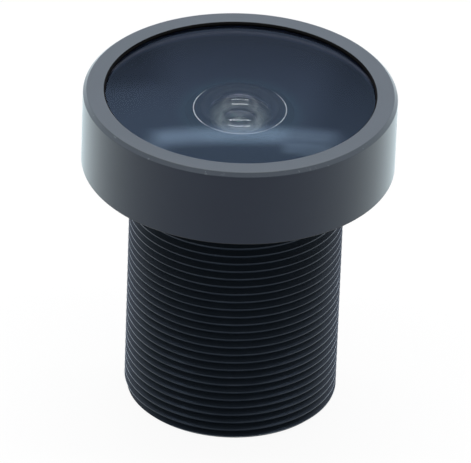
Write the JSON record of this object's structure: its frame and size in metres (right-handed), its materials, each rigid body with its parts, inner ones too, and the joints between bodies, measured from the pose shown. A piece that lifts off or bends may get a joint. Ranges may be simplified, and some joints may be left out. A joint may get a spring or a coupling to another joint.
{
  "type": "night vision lens",
  "caption": "Wide-angle board lens: a broad round head with a flat rim around a domed front glass, on a narrower barrel with a fine male thread.",
  "frame": {"origin": "centre of the barrel's rear end face, on which the lens stands", "axes": "+Z along the optical axis, from the rear end face to the front glass"},
  "size_m": [0.0176, 0.0176, 0.0194],
  "materials": {
    "barrel_anodise": "black anodised, satin on the thread",
    "cap_anodise": "blue-black satin anodised",
    "front_glass": "polished and coated, rear seat painted black",
    "seal_rubber": "matte",
    "shield_film": "matte black film",
    "spacer_anodise": "matte black anodised",
    "element_glass": "polished and coated",
    "stop_black": "matte black",
    "rear_glass": "polished and coated",
    "ring_anodise": "black anodised"
  },
  "bodies": {
    "root": {"barrel": "barrel_anodise", "front_cap": "cap_anodise", "front_lens": "front_glass", "seal_ring": "seal_rubber", "front_light_shield": "shield_film", "front_spacer": "spacer_anodise", "lens_2": "element_glass", "second_light_shield": "shield_film", "second_spacer": "spacer_anodise", "lens_3": "element_glass", "aperture_stop": "stop_black", "stop_spacer": "spacer_anodise", "lens_4": "element_glass", "third_spacer": "spacer_anodise", "lens_5": "element_glass", "lens_6": "element_glass", "rear_spacer": "spacer_anodise", "rear_lens": "rear_glass", "retaining_ring": "ring_anodise"}
  },
  "joints": []
}
